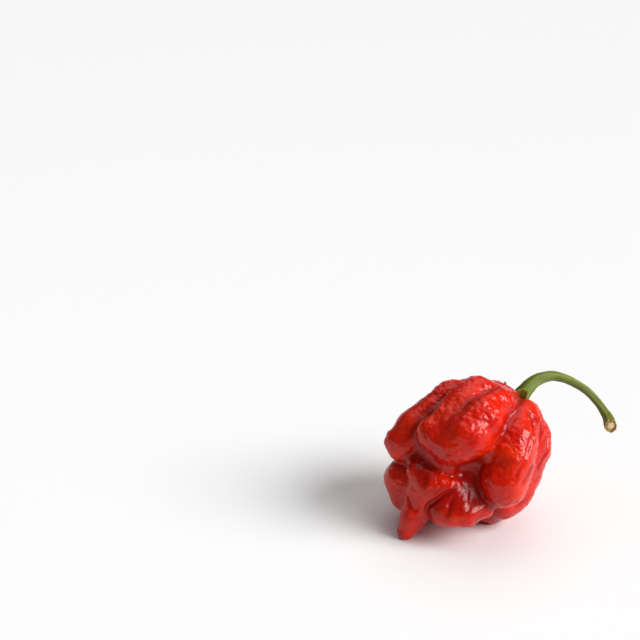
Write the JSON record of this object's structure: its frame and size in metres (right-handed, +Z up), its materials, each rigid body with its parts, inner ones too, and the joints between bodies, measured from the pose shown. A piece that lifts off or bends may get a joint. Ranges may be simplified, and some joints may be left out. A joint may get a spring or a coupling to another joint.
{
  "type": "trinidad moruga scorpion pepper",
  "caption": "Picked ripe hot pepper lying on its side: lobed, creased red pod with a pointed tail, a toothed calyx and a hooked green stem with a cut end.",
  "frame": {"origin": "middle of the pepper's length and width, on the surface that it lies on", "axes": "+X along the longest extent, towards the cut end of the stem; +Y away from the side that shows the front lobes; +Z up"},
  "size_m": [0.0524, 0.032, 0.0332],
  "materials": {
    "pod_skin": null,
    "calyx": "matt dry olive green, brown at the tips of the teeth",
    "stem": "satin green, streaked along its length, with a pale corky cut end"
  },
  "bodies": {
    "root": {"pod": "pod_skin", "calyx": "calyx", "stem": "stem"}
  },
  "joints": []
}
